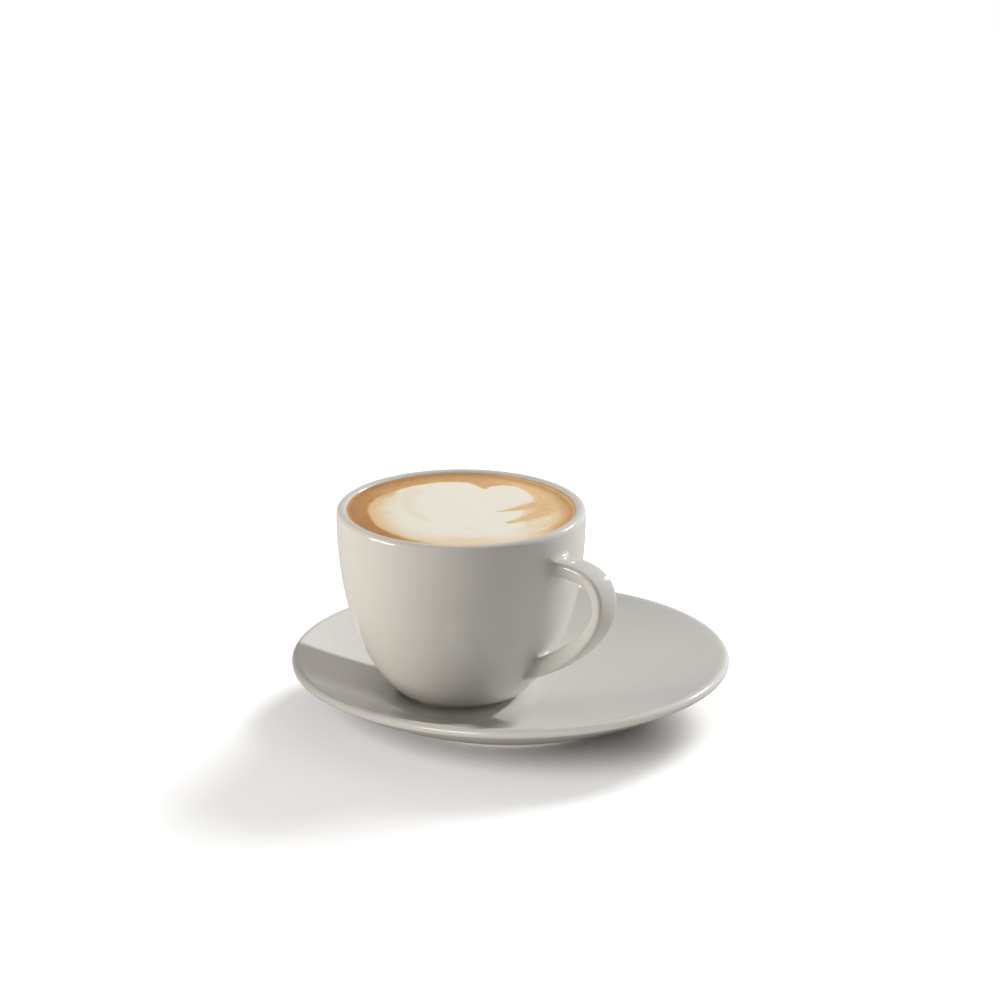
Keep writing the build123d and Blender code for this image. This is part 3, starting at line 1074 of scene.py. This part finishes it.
def make_latte(scene):
    """The drink: its poured surface, and a plain body that reaches just into the cup's wall."""
    look, cup = scene.latte_drink, scene.latte_cup
    lip = cup.wall / 2
    drop = look.level - look.meniscus
    inner = cup.lip_radius - lip - (lip**2 - (lip - drop) ** 2) ** 0.5
    disc_x, disc_y = ((inner + INTO_WALL) * part for part in disc_grid(SURFACE_POINTS))
    side = Vector((cos(look.turn), sin(look.turn)))
    drawn_x = (disc_x * side.x + disc_y * side.y) / MM
    drawn_y = (-disc_x * side.y + disc_y * side.x) / MM
    milk, froth = pour(drawn_x, drawn_y, inner / MM)

    out = np.hypot(disc_x, disc_y)
    level = latte_top - cup_low.z
    swell = Noise(5)(drawn_x, drawn_y, 14.0, 3) * SWELL
    climb = look.meniscus * np.exp(-(inner - np.minimum(out, inner)) / MENISCUS_REACH)
    height = level - look.relief * (1 - milk) + swell + climb
    surface = np.stack([disc_x, disc_y, height], -1).reshape(-1, 3)
    index = np.arange(len(surface)).reshape(disc_x.shape)
    squares = np.stack([index[:-1, :-1], index[1:, :-1], index[1:, 1:], index[:-1, 1:]], -1)
    faces = [*squares.reshape(-1, 4)]
    border = np.r_[index[:, 0], index[-1, 1:], index[-2::-1, -1], index[0, -2:0:-1]]

    # The body follows the inside of the cup down to its floor
    fine = soften(cup_outline(cup), cup.soft_edge)
    inside = fine[int(np.argmax(fine[:, 1])):]
    points, total, before = [surface], len(surface), border
    first, second = (level - depth for depth in FIRST_DEPTHS)
    for step in (first, *np.linspace(second, cup.floor + MM, BODY_RINGS)):
        ring_radius = np.interp(step, inside[::-1, 1], inside[::-1, 0]) + INTO_WALL
        ring = surface[border] * (1, 1, 0)
        ring = ring / np.hypot(ring[:, 0], ring[:, 1])[:, None] * ring_radius + (0, 0, step)
        points.append(ring)
        after = np.arange(total, total + len(ring))
        total += len(ring)
        faces += ring_faces(before, after)
        before = after
    points.append(np.array([(0, 0, cup.floor - INTO_WALL)]))
    faces += [(before[i - 1], before[i], total) for i in range(len(before))]

    points = np.vstack(points) + np.array((*cup_centre().xy, cup_low.z))
    latte = mesh_object("latte_poured", points, faces, drink_material(look))
    spare = len(points) - len(surface)
    for name, values in (("milk", milk), ("froth", froth)):
        attribute = latte.data.attributes.new(name, "FLOAT", "POINT")
        attribute.data.foreach_set("value", np.r_[values.ravel(), np.zeros(spare)].astype(np.float32))
    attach(latte, "root")
    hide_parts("latte")


def make_bubbles(scene):
    """Small bubbles of froth, most of them along the wall."""
    source = bpy.data.objects["latte_poured"]
    bubbles = placed("crema_bubbles", source.data.copy())
    scatter = bubbles.modifiers.new("scatter", "NODES")
    scatter.node_group = bubble_tree()
    look = scene.latte_drink
    for name, value in (("Density", look.bubbles / FROTH_RING), ("Smallest", BUBBLE_SIZES[0]),
                        ("Largest", BUBBLE_SIZES[1]), ("Seed", BUBBLE_SEED),
                        ("Finish", bubble_material(look))):
        set_input(scatter, name, value)
    applied(bubbles)
    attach(bubbles, "root")


# --- Stage ----------------------------------------------------------------------------------------

FLOOR_HALF = 4.0  # half the floor's width
FLOOR_SEEN = (0.86, 0.86, 0.86)  # what the camera sees of the floor
FLOOR_BOUNCE = (0.36, 0.35, 0.33)  # what it throws back, darker so that less light comes from below
FLOOR_FADE = (0.22, 0.42)  # how far out the floor starts to glow white, and where it all does
AMBIENT_COLOUR = (1.0, 0.97, 0.92)
AMBIENT_FROM = (0.60, 0.30, 0.74)  # where most of it comes from: right, away and up
AMBIENT_LEAST, AMBIENT_RISE = 0.35, 1.3
LAMP_AIM = Vector((0, 0, 0.04))


def seen_from_camera(stage, right, away, up):
    """A vector given by what is right, away and up as the camera looks."""
    a = stage.azimuth
    return Vector((cos(a) * right - sin(a) * away, sin(a) * right + cos(a) * away, up))


def lamp(name, stage, lit, turn, rise, far, size, power, colour):
    """An area lamp that faces the object and lights only the pieces given.

    Its turn goes from the camera's right towards the back, and it is in degrees, as the rise is.
    """
    turn, rise = radians(turn), radians(rise)
    side = seen_from_camera(stage, cos(rise) * cos(turn), cos(rise) * sin(turn), sin(rise))
    data = bpy.data.lights.new(name, "AREA")
    data.shape = "RECTANGLE"
    data.size, data.size_y = size
    data.energy = power
    data.color = colour
    made = placed(name, data)
    made.location = LAMP_AIM + side * far
    made.rotation_mode = "QUATERNION"
    made.rotation_quaternion = (-side).to_track_quat("-Z", "Y")
    group = bpy.data.collections.new(name + "_lit")
    for piece in lit:
        group.objects.link(piece)
    made.light_linking.receiver_collection = group


def make_floor():
    """A pale floor that shows the object's shadow and glows plain white beyond it."""
    mesh = bpy.data.meshes.new("floor")
    corners = [(x * FLOOR_HALF, y * FLOOR_HALF, 0) for x, y in ((-1, -1), (1, -1), (1, 1), (-1, 1))]
    mesh.from_pydata(corners, [], [(0, 1, 2, 3)])
    floor = placed("floor", mesh)
    material = bpy.data.materials.new("pale_floor")
    tree = emptied(material)
    seen = node(tree, "ShaderNodeLightPath").outputs["Is Camera Ray"]
    matt = node(tree, "ShaderNodeBsdfDiffuse", {"Color": mixed(tree, seen, FLOOR_BOUNCE, FLOOR_SEEN)})
    place = node(tree, "ShaderNodeTexCoord").outputs["Object"]
    reach = node(tree, "ShaderNodeVectorMath", {0: place}, operation="LENGTH").outputs["Value"]
    far = node(tree, "ShaderNodeMapRange", {
        "Value": reach, "From Min": FLOOR_FADE[0], "From Max": FLOOR_FADE[1],
    }, interpolation_type="SMOOTHSTEP").outputs[0]
    glow = node(tree, "ShaderNodeEmission", {"Strength": 1.0})
    plain = node(tree, "ShaderNodeMixShader", {
        0: maths(tree, "MULTIPLY", far, seen), 1: matt.outputs[0], 2: glow.outputs[0],
    })
    node(tree, "ShaderNodeOutputMaterial", {0: plain.outputs[0]})
    mesh.materials.append(material)
    return floor


def make_world(stage):
    """White to the camera, dimmer in gloss, and a soft ambient light that is stronger on one side."""
    world = bpy.data.worlds.new("studio")
    tree = emptied(world)
    path = node(tree, "ShaderNodeLightPath").outputs
    clear = maths(tree, "MAXIMUM", path["Is Camera Ray"], path["Is Transmission Ray"])
    gloss = maths(tree, "MULTIPLY", path["Is Glossy Ray"], stage.reflected)
    seen = maths(tree, "MAXIMUM", clear, gloss)
    direction = node(tree, "ShaderNodeTexCoord").outputs["Generated"]
    brightest = seen_from_camera(stage, *AMBIENT_FROM)
    facing = node(tree, "ShaderNodeVectorMath", {0: direction, 1: brightest}, operation="DOT_PRODUCT")
    towards = maths(tree, "MAXIMUM", facing.outputs["Value"], 0.0)
    level = maths(tree, "MULTIPLY_ADD", towards, AMBIENT_RISE, AMBIENT_LEAST)
    ambient = maths(tree, "MULTIPLY", level, stage.ambient)
    gloss_or_seen = maths(tree, "GREATER_THAN", seen, 0.0)
    unseen = maths(tree, "SUBTRACT", 1.0, gloss_or_seen)
    backdrop = node(tree, "ShaderNodeBackground", {
        "Color": mixed(tree, gloss_or_seen, AMBIENT_COLOUR, grey(1)),
        "Strength": maths(tree, "ADD", seen, maths(tree, "MULTIPLY", ambient, unseen)),
    })
    node(tree, "ShaderNodeOutputWorld", {0: backdrop.outputs[0]})
    return world


def make_camera(stage):
    """The camera, at its turn and height round the object."""
    data = bpy.data.cameras.new("camera")
    data.lens = stage.lens
    data.sensor_width = 36.0
    data.clip_start, data.clip_end = 0.1, 30.0
    camera = placed("camera", data)
    aim = seen_from_camera(stage, stage.aim_side, 0, stage.aim_height)
    back = seen_from_camera(stage, 0, -cos(stage.elevation), sin(stage.elevation))
    camera.location = aim + back * stage.distance
    camera.rotation_mode = "QUATERNION"
    camera.rotation_quaternion = (-back).to_track_quat("-Z", "Y")
    return camera


def make_stage(scene):
    """The floor, the world, the lamps and the camera."""
    stage = scene.latte_stage
    pieces = [piece for piece in scene.objects if piece.type == "MESH"]
    saucer = bpy.data.objects["saucer_glazed"]
    rest = [piece for piece in pieces if piece != saucer]
    floor = make_floor()
    scene.world = make_world(stage)
    warm, white = (1.0, 0.94, 0.86), (1.0, 1.0, 1.0)
    lamp("key", stage, pieces, 37, 28, 1.3, (0.07, 0.07), stage.key, (0.97, 0.99, 1.0))
    lamp("fill", stage, rest, 195, 12, 1.1, (0.5, 0.35), stage.fill, warm)
    lamp("low", stage, [saucer], 240, 2, 1.1, (0.6, 0.2), stage.low, (1.0, 0.94, 0.87))
    lamp("floor_back", stage, [floor], 56, 29, 1.3, (0.6, 0.6), stage.floor_back, white)
    lamp("floor_front", stage, [floor], 222, 25, 1.3, (1.2, 0.8), stage.floor_front, white)
    scene.camera = make_camera(stage)
    scene.view_settings.view_transform = "Standard"


# --- Operators and panel --------------------------------------------------------------------------


class LATTE_OT_saucer(Operator):
    """Make the glazed saucer"""

    bl_idname = "latte.saucer"
    bl_label = "Saucer"

    def execute(self, context):
        make_saucer(context.scene)
        return {"FINISHED"}


class LATTE_OT_cup(Operator):
    """Make the glazed cup with its handle"""

    bl_idname = "latte.cup"
    bl_label = "Cup"

    def execute(self, context):
        make_cup(context.scene)
        return {"FINISHED"}


class LATTE_OT_drink(Operator):
    """Make the latte that fills the cup"""

    bl_idname = "latte.drink"
    bl_label = "Latte"

    def execute(self, context):
        make_latte(context.scene)
        return {"FINISHED"}


class LATTE_OT_bubbles(Operator):
    """Scatter bubbles of froth on the latte"""

    bl_idname = "latte.bubbles"
    bl_label = "Bubbles"

    def execute(self, context):
        make_bubbles(context.scene)
        return {"FINISHED"}


class LATTE_OT_stage(Operator):
    """Make the floor, the lamps and the camera"""

    bl_idname = "latte.stage"
    bl_label = "Stage"

    def execute(self, context):
        make_stage(context.scene)
        return {"FINISHED"}


GROUPS = {
    "latte_saucer": SaucerSizes, "latte_cup": CupSizes, "latte_handle": HandleSizes,
    "latte_drink": DrinkLook, "latte_glaze": GlazeLook, "latte_stage": StageLook,
}
OPERATORS = (LATTE_OT_saucer, LATTE_OT_cup, LATTE_OT_drink, LATTE_OT_bubbles, LATTE_OT_stage)


class LATTE_PT_panel(Panel):
    """Lists the pieces and their sizes"""

    bl_idname = "LATTE_PT_panel"
    bl_label = "Latte"
    bl_space_type = "VIEW_3D"
    bl_region_type = "UI"
    bl_category = "Latte"

    def draw(self, context):
        for operator in OPERATORS:
            self.layout.operator(operator.bl_idname)
        for name, group in GROUPS.items():
            box = self.layout.box()
            box.label(text=name.replace("latte_", "").capitalize())
            for key in group.__annotations__:
                box.prop(getattr(context.scene, name), key)


def register():
    """Adds the sizes, the operators and the panel to Blender."""
    for name, group in GROUPS.items():
        bpy.utils.register_class(group)
        setattr(bpy.types.Scene, name, PointerProperty(type=group))
    for item in (*OPERATORS, LATTE_PT_panel):
        bpy.utils.register_class(item)


def unregister():
    """Takes away what register added."""
    for item in (LATTE_PT_panel, *reversed(OPERATORS)):
        bpy.utils.unregister_class(item)
    for name, group in reversed(GROUPS.items()):
        delattr(bpy.types.Scene, name)
        bpy.utils.unregister_class(group)


def main():
    """Makes every piece and the stage."""
    register()
    bpy.ops.latte.saucer()
    bpy.ops.latte.cup()
    bpy.ops.latte.drink()
    bpy.ops.latte.bubbles()
    bpy.ops.latte.stage()


if __name__ == "__main__":
    main()
